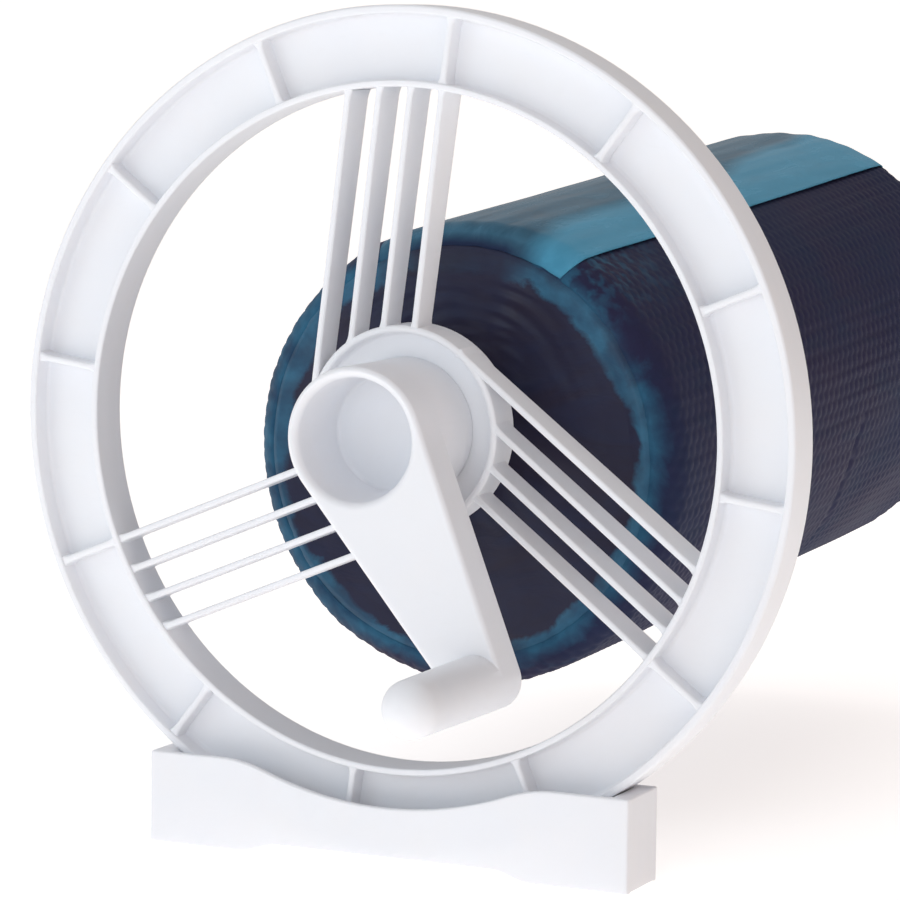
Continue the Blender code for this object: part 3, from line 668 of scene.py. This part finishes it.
def make_crank(material):
    arm_back = CRANK_FRONT - CRANK_ARM_DEPTH
    cup_floor = CRANK_FRONT - CRANK_CUP_DEPTH
    cup_back = cup_floor - CRANK_CUP_WALL
    boss_back = -(HUB_FACE_DEPTH - GAP)
    edge = CRANK_EDGE
    rings = [arm_outline(CRANK_WALL, CRANK_FRONT - CRANK_WALL),
             arm_outline(CRANK_WALL, arm_back + BACK_EDGE),
             arm_outline(CRANK_WALL - BACK_EDGE, arm_back),
             arm_outline(BACK_EDGE, arm_back),
             arm_outline(0.0, arm_back + BACK_EDGE)]
    for k in range(7):
        angle = math.pi / 2 * k / 6
        height = CRANK_FRONT - edge * (1 - math.sin(angle))
        rings.append(arm_outline(edge * (1 - math.cos(angle)), height))
    crank = new_object("crank_moulding", loft("crank", rings), material)

    body = CRANK_BOSS_RADIUS - 0.0002
    boss = lathe("boss", [
        (0, CRANK_FRONT - 0.0016), (body - 0.003, CRANK_FRONT - 0.0016), (body, CRANK_FRONT - 0.0046),
        (body, boss_back), (body - CRANK_WALL, boss_back), (body - CRANK_WALL, cup_back),
        (SPIGOT_RADIUS, cup_back), (SPIGOT_RADIUS, -SPIGOT_REACH),
        (SPIGOT_RADIUS - SPIGOT_WALL, -SPIGOT_REACH), (SPIGOT_RADIUS - SPIGOT_WALL, cup_back),
        (0, cup_back)], ROUND_STEPS, closed=False)
    join(crank, boss)

    mouth = CRANK_RIM_EDGE
    flare = [(CRANK_CUP_RADIUS + mouth * (1 - math.cos(a)), CRANK_FRONT - mouth * (1 - math.sin(a)))
             for a in (math.pi / 2 * k / 7 for k in range(8))]
    root = 0.0022
    bowl = [(CRANK_CUP_FLOOR_RADIUS - root * (1 - math.sin(a)), cup_floor + root * (1 - math.cos(a)))
            for a in (math.pi / 2 * k / 6 for k in range(7))]
    cup = [(0, cup_floor)] + bowl + flare
    cup += [(cup[-1][0], CRANK_FRONT + 0.010), (0, CRANK_FRONT + 0.010)]
    cut(crank, lathe("cup", cup, ROUND_STEPS, closed=False))

    tip = (CRANK_THROW * math.cos(CRANK_ANGLE), CRANK_THROW * math.sin(CRANK_ANGLE), 0)
    dome = [(GRIP_RADIUS * math.sin(a), GRIP_TIP - GRIP_DOME * (1 - math.cos(a)))
            for a in (math.pi / 2 * k / 10 for k in range(11))]
    bore = GRIP_RADIUS - CRANK_WALL
    grip = lathe("grip", dome + [
        (GRIP_ROOT_RADIUS - 0.0001, CRANK_FRONT + 0.012), (GRIP_ROOT_RADIUS - 0.0001, arm_back + 0.0012),
        (GRIP_ROOT_RADIUS - 0.0012, arm_back + 0.0001), (bore, arm_back + 0.0001),
        (bore, GRIP_TIP - GRIP_DOME), (0, GRIP_TIP - GRIP_DOME)], 64, closed=False)
    join(crank, moved(grip, Matrix.Translation(tip)))
    return stand_up(smooth(crank), NEAR_FRONT)


# ---------------------------------------------------------------- feet

def foot_heights(x):
    """Heights at a place across the foot: top edge, slot floor, hollow's roof and underside."""
    top = FOOT_HEIGHT
    dip_half = math.sqrt(FOOT_DIP_RADIUS ** 2 - (AXLE_HEIGHT - top) ** 2)
    side = abs(x)
    inner, outer = dip_half - FOOT_DIP_BLEND, dip_half + FOOT_DIP_BLEND
    edge = AXLE_HEIGHT - math.sqrt(FOOT_DIP_RADIUS ** 2 - min(side, inner) ** 2)
    if side > inner:
        share = min((side - inner) / (outer - inner), 1.0)
        slope = inner / math.sqrt(FOOT_DIP_RADIUS ** 2 - inner ** 2) * (outer - inner)
        rise = top - edge
        edge += slope * (share ** 3 - 2 * share ** 2 + share)
        edge += rise * (3 * share ** 2 - 2 * share ** 3)
    slot_radius = WHEEL_RADIUS + GAP * 2
    slot = AXLE_HEIGHT - math.sqrt(slot_radius ** 2 - min(side, slot_radius) ** 2)
    slot = min(slot, edge)
    pad = FOOT_HALF_WIDTH - FOOT_PAD_WIDTH
    ramp = min(max((pad - side) / FOOT_RELIEF_RAMP, 0.0), 1.0)
    under = FOOT_RELIEF_HEIGHT * (1 - math.cos(math.pi * ramp)) / 2
    roof = max(min(slot - FOOT_FLOOR, edge - FOOT_WALL), under + FOOT_THIN)
    if side > FOOT_HALF_WIDTH - FOOT_WALL:
        roof = under + FOOT_THIN
    return edge, slot, roof, under


def make_foot(name, material):
    front, back = FOOT_FRONT_DEPTH, FOOT_BACK_DEPTH
    slot_back = RIM_DEPTH + GAP
    slot_front = front + FOOT_WALL
    half = FOOT_HALF_WIDTH
    cuts = [half - FOOT_WALL - 0.0001, half - FOOT_WALL + 0.0001]
    inner = half - 0.0025
    stations = sorted(set([-half, half] + [s * c for c in cuts for s in (-1, 1)]
                          + [s * (half - FOOT_EDGE * (1 - math.sin(math.pi / 2 * k / 4)))
                             for k in range(4) for s in (-1, 1)]
                          + [-inner + 2 * inner * k / 150 for k in range(151)]))
    rings = []
    for x in stations:
        edge_height, slot, roof, under = foot_heights(x)
        gone = max(abs(x) - (half - FOOT_EDGE), 0.0)
        pull = FOOT_EDGE - math.sqrt(max(FOOT_EDGE ** 2 - gone ** 2, 0.0))
        top = edge_height - pull * 0.8
        slot = min(slot, top)
        ends = min(1.0, (top - slot) / 0.002)
        lip = FOOT_EDGE * 0.8
        f, b = front + pull, back - pull
        corners = [
            (f, under, FOOT_FINE_EDGE), (f, top, FOOT_EDGE),
            (slot_front, top, lip * ends), (slot_front, slot, FOOT_FINE_EDGE * ends),
            (slot_back, slot, FOOT_FINE_EDGE * ends), (slot_back, top, lip * ends),
            (b, top, FOOT_EDGE), (b, under, FOOT_FINE_EDGE),
            (b - FOOT_WALL, under, 0), (b - FOOT_WALL, roof, 0),
            (f + FOOT_WALL, roof, 0), (f + FOOT_WALL, under, 0)]
        ring = []
        for index, (d, z, radius) in enumerate(corners):
            if 2 <= index <= 5 and radius < 0.00005:
                ring += [Vector((d, z))] * 5
            else:
                before, after = corners[index - 1], corners[(index + 1) % len(corners)]
                bend = rounded([(*before[:2], 0), (d, z, radius), (*after[:2], 0)], 4)
                ring += bend[1:-1]
        rings.append([(x, NEAR_FRONT + d, z) for d, z in ring])
    counts = {len(ring) for ring in rings}
    assert len(counts) == 1, counts
    foot = new_object(name, loft(name, rings), material)
    return smooth(foot, 30)


def turned_foot(name, foot):
    """The far foot: the same moulding, turned about the upright axis to face the far end."""
    middle = (NEAR_FRONT + FAR_FRONT) / 2
    mesh = foot.data.copy()
    mesh.transform(Matrix.Translation((0, middle, 0)) @ Matrix.Rotation(math.pi, 4, "Z")
                   @ Matrix.Translation((0, -middle, 0)))
    far = new_object(name, mesh)
    return smooth(far, 30)


# ---------------------------------------------------------------- the wound cover

def roll_shape(depth):
    """Radius of the roll at a depth from its near end, and how far it hangs below the axle there."""
    share = depth / ROLL_LENGTH
    radius = ROLL_NEAR_RADIUS + (ROLL_FAR_RADIUS - ROLL_NEAR_RADIUS) * share
    sag = ROLL_NEAR_SAG + (ROLL_FAR_SAG - ROLL_NEAR_SAG) * share
    from_end = min(depth, ROLL_LENGTH - depth)
    if from_end < ROLL_SHOULDER:
        lean = ROLL_SHOULDER - from_end
        radius -= ROLL_SHOULDER - math.sqrt(ROLL_SHOULDER ** 2 - lean ** 2)
    return radius, sag


def roll_point(radius, angle, depth, sag):
    """A point on the roll. The sag fades to nothing at the tube, where the inner turns are tight."""
    slack = max(radius - TUBE_RADIUS, 0.0) / (ROLL_NEAR_RADIUS - TUBE_RADIUS)
    return Vector((radius * math.cos(angle), roll_low.y + depth,
                   AXLE_HEIGHT + radius * math.sin(angle) - slack * sag))


def make_inner_turns(material):
    """All the turns but the outer one, as one wound body with ragged, creased ends."""
    steps = 288
    bore = TUBE_RADIUS + 2 * GAP
    under = INNER_TURNS_SINK
    rings = []

    def end_ring(radius, near):
        depth = 0.0 if near else ROLL_LENGTH
        ring = []
        sag = roll_shape(depth)[1]
        for step in range(steps):
            angle = 2 * math.pi * step / steps
            turn = radius / TURN_PITCH + angle / (2 * math.pi)
            crease = noise.noise((3.2 * math.cos(angle), 3.2 * math.sin(angle),
                                  11.0 + radius * 9 + near))
            layer = noise.noise((turn * 0.45, 2.4 * math.sin(angle), 2.4 * math.cos(angle) + near * 7))
            slack = max(math.cos(angle - math.radians(105)), 0.0) ** 2
            lift = END_SINK + END_CREASE * crease * min((radius - bore) / 0.03, 1.0)
            lift += (0.0003 + 0.0020 * slack) * layer
            inward = min(max(lift, 0.0), DEEPEST_CREASE)
            ring.append(roll_point(radius, angle, inward if near else depth - inward, sag))
        return ring

    def side_ring(depth):
        radius, sag = roll_shape(depth)
        ring = []
        for step in range(steps):
            angle = 2 * math.pi * step / steps
            ripple = noise.noise((4 * math.cos(angle), 4 * math.sin(angle), depth * 22))
            near_edge = max(0.0, 1 - min(depth, ROLL_LENGTH - depth) / EDGE_RISE_DEPTH)
            ring.append(roll_point(radius - under + near_edge * (under + 0.0010 * ripple - 0.0008),
                                   angle, depth, sag))
        return ring

    shoulder_radius = roll_shape(0.0)[0]
    far_shoulder = roll_shape(ROLL_LENGTH)[0]
    rings = [[roll_point(bore, 2 * math.pi * step / steps, 0.004, 0) for step in range(steps)]]
    for k in range(1, 46):
        rings.append(end_ring(bore + (shoulder_radius - bore) * k / 46, True))
    for k in range(0, 15):
        rings.append(side_ring(END_EDGE + ROLL_SHOULDER * (k / 14) ** 1.5))
    for k in range(1, 30):
        rings.append(side_ring(ROLL_SHOULDER + (ROLL_LENGTH - 2 * ROLL_SHOULDER) * k / 30))
    for k in reversed(range(0, 15)):
        rings.append(side_ring(ROLL_LENGTH - END_EDGE - ROLL_SHOULDER * (k / 14) ** 1.5))
    for k in reversed(range(1, 46)):
        rings.append(end_ring(bore + (far_shoulder - bore) * k / 46, False))
    rings.append([roll_point(bore, 2 * math.pi * step / steps, ROLL_LENGTH - 0.004, 0)
                  for step in range(steps)])
    rings.append(rings[0])
    turns = new_object("cover_inner_turns", loft("cover_inner_turns", rings, caps=False), material)
    turns.data.shade_smooth()
    return turns


def bubble(length, width):
    """Height, 0 to 1, of the bubble film's surface: round domes in staggered rows."""
    row = round(width / (BUBBLE_PITCH * 0.866))
    shift = 0.5 * (row % 2)
    column = round(length / BUBBLE_PITCH - shift)
    dx = length - (column + shift) * BUBBLE_PITCH
    dy = width - row * BUBBLE_PITCH * 0.866
    reach = math.hypot(dx, dy) / (BUBBLE_PITCH * 0.46)
    return math.sqrt(1 - reach * reach) if reach < 1 else 0.0


def fold(angle, depth):
    """Depth, 0 to 1, of the one long crease that runs down the roll's right side."""
    reach = (angle - FOLD_ANGLE) / FOLD_REACH
    off_line = (depth - FOLD_PLACE - 0.012 * math.sin(5 * angle)) / FOLD_WIDTH
    return math.exp(-reach ** 4 - off_line ** 2)


def make_outer_turn(film, hem):
    """The last turn: one thin sheet that starts under its own hem and laps over it."""
    around, across = 520, 300
    total = 2 * math.pi + LAP
    mean_radius = (ROLL_NEAR_RADIUS + ROLL_FAR_RADIUS) / 2
    surface = bmesh.new()
    rows = []
    for i in range(around + 1):
        travelled = total * i / around
        angle = HEM_ANGLE + travelled
        lift = FILM_LAP * max(0.0, 1 - travelled / LAP_EASE) ** 1.5
        on_hem = travelled < HEM_WIDTH
        row = []
        for j in range(across + 1):
            depth = FILM_MARGIN + FLAT_WIDTH * j / across
            radius, sag = roll_shape(depth)
            from_end = min(j, across - j) * FLAT_WIDTH / across
            rise = lift * (0.5 + 0.5 * min(1.0, from_end / 0.045))
            wave = noise.noise((3 * math.cos(angle), 3 * math.sin(angle), depth * 9))
            crease = noise.noise((14 * travelled, depth * 5, 4.0))
            height = -OUTER_TURN_SINK + rise + WAVE_HEIGHT * wave
            if on_hem:
                height += HEM_CREASE * crease
            else:
                fade = min((travelled - HEM_WIDTH) / 0.10, 1.0)
                weak = 0.75 + 0.5 * noise.noise((travelled * 2, depth * 12, 9.0))
                fade *= min(from_end / 0.005, 1.0)
                height += BUBBLE_HEIGHT * bubble(depth, mean_radius * travelled) * fade * weak
                height += FILM_CREASE * crease - FOLD_DEPTH * fold(angle, depth)
            row.append(surface.verts.new(roll_point(radius + height, angle, depth, sag)))
        rows.append(row)
    for i in range(around):
        smooth_part = total * i / around < HEM_WIDTH
        for j in range(across):
            face = surface.faces.new((rows[i][j], rows[i + 1][j], rows[i + 1][j + 1], rows[i][j + 1]))
            face.smooth = True
            face.material_index = 1 if smooth_part else 0
    mesh = bpy.data.meshes.new("cover_outer_turn")
    bmesh.ops.recalc_face_normals(surface, faces=surface.faces)
    surface.to_mesh(mesh)
    surface.free()
    turn = new_object("cover_outer_turn", mesh, film, hem)
    shell = turn.modifiers.new("film_thickness", "SOLIDIFY")
    shell.thickness = FILM * 0.5
    shell.offset = -1.0
    return turn, total * mean_radius


# ---------------------------------------------------------------- stage, lights and camera

def make_stage():
    half = 600.0
    mesh = mesh_from("floor", [(-half, -half, 0), (half, -half, 0), (half, half, 0), (-half, half, 0)],
                     [(0, 1, 2, 3)])
    new_object("floor", mesh, pale_floor())
    world = bpy.data.worlds.new("studio")
    bpy.context.scene.world = world
    world.use_nodes = True
    background = world.node_tree.nodes["Background"]
    background.inputs["Strength"].default_value = 0.56
    nodes = Nodes(world.node_tree)
    x, y, z = nodes.split(nodes.add("TexCoord", output="Generated"))
    nodes.plug(background.inputs["Color"],
               nodes.mix(x.ramp(-0.2, 0.8), (1.0, 0.985, 0.98), (0.64, 0.51, 0.46)))
    bpy.context.scene.view_settings.view_transform = "Standard"


def area_light(name, place, target, size, power, color):
    light = bpy.data.lights.new(name, "AREA")
    light.shape = "DISK"
    light.size = size
    light.energy = power
    light.color = color
    obj = bpy.data.objects.new(name, light)
    bpy.context.scene.collection.objects.link(obj)
    obj.location = place
    obj.rotation_euler = (Vector(target) - Vector(place)).to_track_quat("-Z", "Y").to_euler()


def make_lights():
    near = (0, NEAR_FRONT, AXLE_HEIGHT)
    area_light("key_light", (-1.25, NEAR_FRONT - 1.35, 0.85), near, 1.2, 4.2, (0.72, 0.88, 1.0))
    area_light("front_light", (0.35, NEAR_FRONT - 2.6, 0.75), near, 1.2, 10.5, (0.78, 0.90, 1.0))
    area_light("top_light", (-0.2, NEAR_FRONT + 0.8, 2.9), near, 2.2, 8, (0.88, 0.95, 1.0))


def make_camera():
    """Looks at the near end from the right, a little above the axle, through a long lens."""
    camera = bpy.data.cameras.new("camera")
    camera.sensor_width = 36.0
    camera.lens = 158.6
    obj = bpy.data.objects.new("camera", camera)
    bpy.context.scene.collection.objects.link(obj)
    place = Vector((0.9974, NEAR_FRONT - 2.0960, AXLE_HEIGHT + 0.2620))
    turn = [Matrix.Rotation(math.radians(angle), 4, axis)
            for angle, axis in ((24.648, "Z"), (-6.705, "X"), (-0.747, "Y"), (90.0, "X"))]
    obj.matrix_world = Matrix.Translation(place) @ turn[0] @ turn[1] @ turn[2] @ turn[3]
    bpy.context.scene.camera = obj


# ---------------------------------------------------------------- the reel

make_camera()
make_stage()
make_lights()

white = moulded_white()
nylon = natural_nylon()
aluminium = drawn_aluminium()
steel = zinc_steel()
edges = wound_edges()
film = bubble_film()
hem = hem_film()

near_wheel = make_wheel("near_wheel_moulding", white)
far_wheel = new_object("far_wheel_moulding", near_wheel.data.copy())
smooth(far_wheel)
finish_piece(stand_up(near_wheel, NEAR_FRONT), "near_end_wheel", "white_plastic", "near_wheel")
finish_piece(stand_up(far_wheel, FAR_FRONT, 1), "far_end_wheel", "white_plastic", "far_wheel")

near_foot = make_foot("near_foot_moulding", white)
far_foot = turned_foot("far_foot_moulding", near_foot)
finish_piece(near_foot, "near_stand", "white_plastic", "near_foot")
finish_piece(far_foot, "far_stand", "white_plastic", "far_foot")

finish_piece(make_crank(white), "reel", "white_plastic", "crank")

finish_piece(make_inner_turns(edges), "reel", "cover_film", "cover_roll")
outer_turn, flat_length = make_outer_turn(film, hem)
finish_piece(outer_turn, "reel", "cover_film")

for node, material in (("near_bush", nylon), ("far_bush", nylon), ("tube_collar", nylon),
                       ("far_axle_plug", nylon), ("outer_tube", aluminium),
                       ("inner_tube", aluminium), ("far_cap", white), ("far_cap_screw", steel),
                       ("crank_screw_1", steel), ("crank_screw_2", steel),
                       ("far_plug_screw_1", steel), ("far_plug_screw_2", steel),
                       ("collar_screw_1", steel), ("collar_screw_2", steel)):
    slots = frame["nodes"][node].data.materials
    slots.clear()
    slots.append(material)
